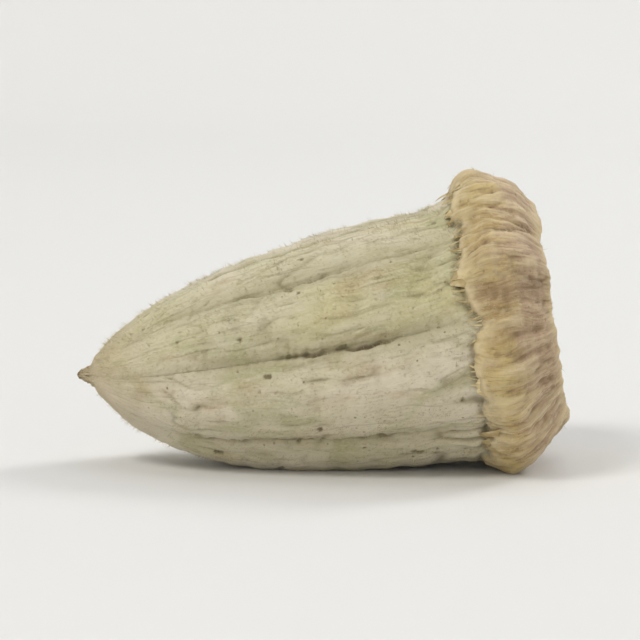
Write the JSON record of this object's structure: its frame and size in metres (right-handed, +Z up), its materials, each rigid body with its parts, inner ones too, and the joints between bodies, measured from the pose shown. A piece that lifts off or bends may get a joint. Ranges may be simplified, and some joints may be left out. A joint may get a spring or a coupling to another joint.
{
  "type": "dried okra pod",
  "caption": "Small whole dried okra pod lying on its side: ribbed grey-green bullet-shaped body, pointed tip and a flared tan cap with a ragged rim.",
  "frame": {"origin": "below the middle of the pod's box, on the surface that it lies on", "axes": "+Z up from the surface; +X along the pod towards the cap at its stem end, so the tip points to -X; +Y across the pod"},
  "size_m": [0.0152, 0.0096, 0.0091],
  "materials": {
    "skin": "matte"
  },
  "bodies": {
    "root": {"okra_pod": "skin"}
  },
  "joints": []
}
